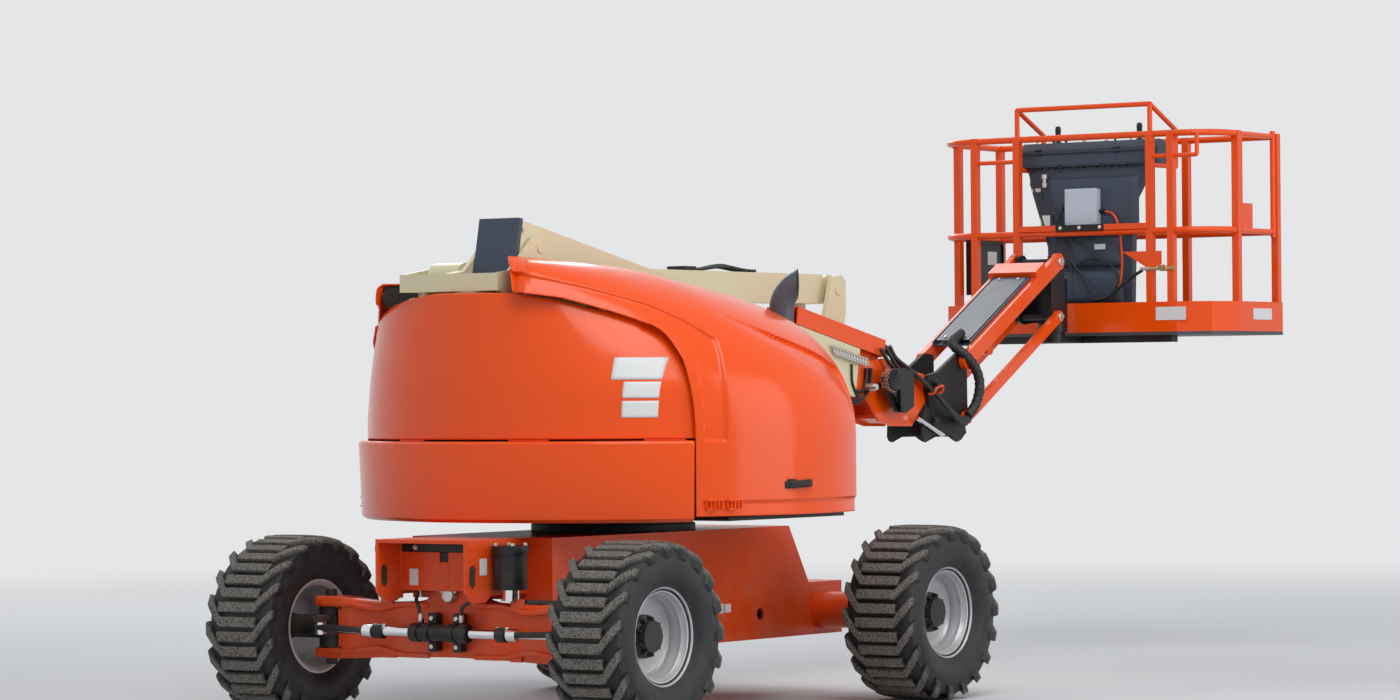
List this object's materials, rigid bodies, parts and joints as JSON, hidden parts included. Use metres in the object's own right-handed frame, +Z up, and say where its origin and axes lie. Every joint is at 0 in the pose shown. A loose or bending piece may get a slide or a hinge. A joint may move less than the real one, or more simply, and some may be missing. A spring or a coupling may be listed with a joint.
{
  "type": "articulating boom lift",
  "caption": "Self-propelled articulating boom lift with tower arms, telescopic boom, jib, caged platform, round turntable hoods and lugged tyres.",
  "frame": {"origin": "on the ground, at the middle of the machine's length and width", "axes": "+X along the booms towards the platform, +Y to the left, +Z up"},
  "size_m": [6.6508, 2.3516, 3.0594],
  "materials": {
    "orange_paint": "gloss enamel",
    "chassis_orange": "gloss enamel",
    "cream_paint": "gloss enamel",
    "black_paint": "satin",
    "cast_black": "matt",
    "chrome": "polished",
    "tyre_rubber": "dusty matt",
    "silver_rim": "satin",
    "exhaust_grey": "satin",
    "console_grey": "moulded",
    "light_grey": "satin",
    "floor_steel": "expanded"
  },
  "bodies": {
    "chassis": {"chassis_frame": "chassis_orange", "slewing_ring": "black_paint", "steer_axle": "chassis_orange", "drive_axle": "chassis_orange", "axle_lock_cylinders": "black_paint", "steering_cylinder": "black_paint"},
    "steering_rod": {"steering_rod": "chrome"},
    "knuckle_right": {"knuckle_right": "cast_black"},
    "knuckle_left": {"knuckle_left": "cast_black"},
    "turntable": {"turntable_frame": "orange_paint", "counterweight": "orange_paint", "rear_panel": "orange_paint", "engine_block": "black_paint", "tank": "black_paint", "exhaust_stack": "exhaust_grey"},
    "hood_right": {"hood_right": "orange_paint"},
    "hood_left": {"hood_left": "orange_paint"},
    "tower_lower": {"tower_lower_arm": "cream_paint"},
    "tower_lower_link": {"tower_lower_link": "cream_paint"},
    "tower_knuckle": {"tower_knuckle": "cream_paint"},
    "tower_upper": {"tower_upper_arm": "cream_paint"},
    "tower_upper_link": {"tower_upper_link": "cream_paint"},
    "upright": {"upright": "cream_paint"},
    "main_boom": {"main_boom": "cream_paint", "boom_end_cap": "console_grey"},
    "fly_boom": {"fly_boom": "orange_paint", "hose_cover": "orange_paint"},
    "jib_base": {"jib_base": "black_paint"},
    "jib_arms": {"jib_arms": "orange_paint", "jib_tray": "console_grey"},
    "jib_links": {"jib_links": "orange_paint"},
    "jib_head": {"jib_head": "black_paint"},
    "platform": {"platform_support": "black_paint", "platform_floor": "floor_steel", "toe_boards": "orange_paint", "platform_rails": "orange_paint", "console": "console_grey", "control_panel": "console_grey", "electrical_box": "light_grey", "manual_box": "black_paint"},
    "gate": {"gate": "orange_paint"},
    "wheel_steer_right": {"tyre_steer_right": "tyre_rubber", "rim_steer_right": "silver_rim", "hub_steer_right": "black_paint"},
    "wheel_steer_left": {"tyre_steer_left": "tyre_rubber", "rim_steer_left": "silver_rim", "hub_steer_left": "black_paint"},
    "wheel_drive_right": {"tyre_drive_right": "tyre_rubber", "rim_drive_right": "silver_rim", "hub_drive_right": "black_paint"},
    "wheel_drive_left": {"tyre_drive_left": "tyre_rubber", "rim_drive_left": "silver_rim", "hub_drive_left": "black_paint"},
    "tower_cylinder_barrel": {"tower_cylinder_barrel": "black_paint"},
    "tower_cylinder_rod": {"tower_cylinder_rod": "chrome"},
    "lift_cylinder_barrel": {"lift_cylinder_barrel": "black_paint"},
    "lift_cylinder_rod": {"lift_cylinder_rod": "chrome"},
    "jib_cylinder_barrel": {"jib_cylinder_barrel": "black_paint"},
    "jib_cylinder_rod": {"jib_cylinder_rod": "chrome"}
  },
  "joints": [
    {"name": "swing", "type": "hinge", "parent": "chassis", "child": "turntable", "pos_m": [-1.739, 0, 0.9], "axis": [0, 0, 1], "range_deg": [-177.5, 177.5]},
    {"name": "hood_right_hinge", "type": "hinge", "parent": "turntable", "child": "hood_right", "pos_m": [-2.139, -0.2, 2.038], "axis": [-0.987, 0, 0.1609], "range_deg": [0, 60]},
    {"name": "hood_left_hinge", "type": "hinge", "parent": "turntable", "child": "hood_left", "pos_m": [-2.139, 0.63, 1.9], "axis": [1, 0, 0], "range_deg": [0, 60]},
    {"name": "tower_lift", "type": "hinge", "parent": "turntable", "child": "tower_lower", "pos_m": [-2.299, 0.29, 1.29], "axis": [0, -1, 0], "range_deg": [0, 68]},
    {"name": "tower_lower_link_turn", "type": "hinge", "parent": "turntable", "child": "tower_lower_link", "pos_m": [-2.299, 0.29, 1.54], "axis": [0, -1, 0], "range_deg": [0, 68]},
    {"name": "knuckle_level", "type": "hinge", "parent": "tower_lower", "child": "tower_knuckle", "pos_m": [0.291, 0.29, 1.29], "axis": [0, -1, 0], "range_deg": [-68, 0]},
    {"name": "tower_upper_lift", "type": "hinge", "parent": "tower_knuckle", "child": "tower_upper", "pos_m": [0.441, 0.29, 2.01], "axis": [0, -1, 0], "range_deg": [-68, 0]},
    {"name": "tower_upper_link_turn", "type": "hinge", "parent": "tower_knuckle", "child": "tower_upper_link", "pos_m": [0.441, 0.29, 1.76], "axis": [0, -1, 0], "range_deg": [-68, 0]},
    {"name": "upright_level", "type": "hinge", "parent": "tower_upper", "child": "upright", "pos_m": [-2.589, 0.29, 2.01], "axis": [0, -1, 0], "range_deg": [0, 68]},
    {"name": "main_lift", "type": "hinge", "parent": "upright", "child": "main_boom", "pos_m": [-2.479, 0, 2.152], "axis": [0, -1, 0], "range_deg": [0, 86]},
    {"name": "telescope", "type": "slide", "parent": "main_boom", "child": "fly_boom", "axis": [0.9799, 0, -0.1994], "range_m": [0, 2.2]},
    {"name": "platform_level", "type": "hinge", "parent": "fly_boom", "child": "jib_base", "pos_m": [0.921, 0, 1.52], "axis": [0, -1, 0], "range_deg": [-86, 0]},
    {"name": "jib_lift", "type": "hinge", "parent": "jib_base", "child": "jib_arms", "pos_m": [1.231, 0, 1.64], "axis": [0, -1, 0], "range_deg": [-85, 45]},
    {"name": "jib_link_turn", "type": "hinge", "parent": "jib_base", "child": "jib_links", "pos_m": [1.231, 0, 1.34], "axis": [0, -1, 0], "range_deg": [-85, 45]},
    {"name": "jib_head_level", "type": "hinge", "parent": "jib_arms", "child": "jib_head", "pos_m": [2.19021, 0, 2.18049], "axis": [0, -1, 0], "range_deg": [-45, 85]},
    {"name": "platform_rotate", "type": "hinge", "parent": "jib_head", "child": "platform", "pos_m": [2.361, 0, 1.8], "axis": [0, 0, 1], "range_deg": [-90, 90]},
    {"name": "gate_hinge", "type": "hinge", "parent": "platform", "child": "gate", "pos_m": [3.2634, -0.8907, 2.35], "axis": [0, 0, -1], "range_deg": [0, 90]},
    {"name": "steer", "type": "hinge", "parent": "chassis", "child": "knuckle_right", "pos_m": [-2.909, -0.75, 0.419], "axis": [0, 0, 1], "range_deg": [-35, 35]},
    {"name": "steer_left", "type": "hinge", "parent": "chassis", "child": "knuckle_left", "pos_m": [-2.909, 0.75, 0.419], "axis": [0, 0, 1], "range_deg": [-35, 35]},
    {"name": "steering_rod_slide", "type": "slide", "parent": "chassis", "child": "steering_rod", "axis": [0, 1, 0], "range_m": [-0.08155, 0.08155]},
    {"name": "wheel_steer_right_spin", "type": "hinge", "parent": "knuckle_right", "child": "wheel_steer_right", "pos_m": [-2.909, -0.975, 0.419], "axis": [0, 1, 0], "continuous": true},
    {"name": "wheel_steer_left_spin", "type": "hinge", "parent": "knuckle_left", "child": "wheel_steer_left", "pos_m": [-2.909, 0.975, 0.419], "axis": [0, 1, 0], "continuous": true},
    {"name": "wheel_drive_right_spin", "type": "hinge", "parent": "chassis", "child": "wheel_drive_right", "pos_m": [-0.569, -0.975, 0.419], "axis": [0, 1, 0], "continuous": true},
    {"name": "wheel_drive_left_spin", "type": "hinge", "parent": "chassis", "child": "wheel_drive_left", "pos_m": [-0.569, 0.975, 0.419], "axis": [0, 1, 0], "continuous": true},
    {"name": "tower_cylinder_turn", "type": "hinge", "parent": "turntable", "child": "tower_cylinder_barrel", "pos_m": [-2.194, 0.29, 1.026], "axis": [0, -1, 0], "range_deg": [0, 59.88]},
    {"name": "tower_cylinder_stroke", "type": "slide", "parent": "tower_cylinder_barrel", "child": "tower_cylinder_rod", "axis": [0.9728, 0, 0.2315], "range_m": [0, 0.30913]},
    {"name": "lift_cylinder_turn", "type": "hinge", "parent": "upright", "child": "lift_cylinder_barrel", "pos_m": [-2.339, 0, 1.9], "axis": [0, -1, 0], "range_deg": [0, 90.2]},
    {"name": "lift_cylinder_stroke", "type": "slide", "parent": "lift_cylinder_barrel", "child": "lift_cylinder_rod", "axis": [0.9651, 0, -0.2619], "range_m": [0, 0.38948]},
    {"name": "jib_cylinder_turn", "type": "hinge", "parent": "jib_base", "child": "jib_cylinder_barrel", "pos_m": [1.2, 0, 1.55], "axis": [0, -1, 0], "range_deg": [-78.62, 41.62]},
    {"name": "jib_cylinder_stroke", "type": "slide", "parent": "jib_cylinder_barrel", "child": "jib_cylinder_rod", "axis": [0.9367, 0, 0.3501], "range_m": [-0.11452, 0.06063]}
  ],
  "couplings": [
    {"joint": "tower_lower_link_turn", "follows": "tower_lift", "ratio": 1},
    {"joint": "knuckle_level", "follows": "tower_lift", "ratio": -1},
    {"joint": "tower_upper_lift", "follows": "tower_lift", "ratio": -1},
    {"joint": "tower_upper_link_turn", "follows": "tower_lift", "ratio": -1},
    {"joint": "upright_level", "follows": "tower_lift", "ratio": 1},
    {"joint": "platform_level", "follows": "main_lift", "ratio": -1},
    {"joint": "jib_link_turn", "follows": "jib_lift", "ratio": 1},
    {"joint": "jib_head_level", "follows": "jib_lift", "ratio": -1},
    {"joint": "steer_left", "follows": "steer", "ratio": 1},
    {"joint": "steering_rod_slide", "follows": "steer", "m_per_rad": -0.13333},
    {"joint": "tower_cylinder_turn", "follows": "tower_lift", "ratio": 0.88061},
    {"joint": "tower_cylinder_stroke", "follows": "tower_lift", "m_per_rad": 0.26046},
    {"joint": "lift_cylinder_turn", "follows": "main_lift", "ratio": 1.0489},
    {"joint": "lift_cylinder_stroke", "follows": "main_lift", "m_per_rad": 0.25948},
    {"joint": "jib_cylinder_turn", "follows": "jib_lift", "ratio": 0.92495},
    {"joint": "jib_cylinder_stroke", "follows": "jib_lift", "m_per_rad": 0.07719}
  ]
}
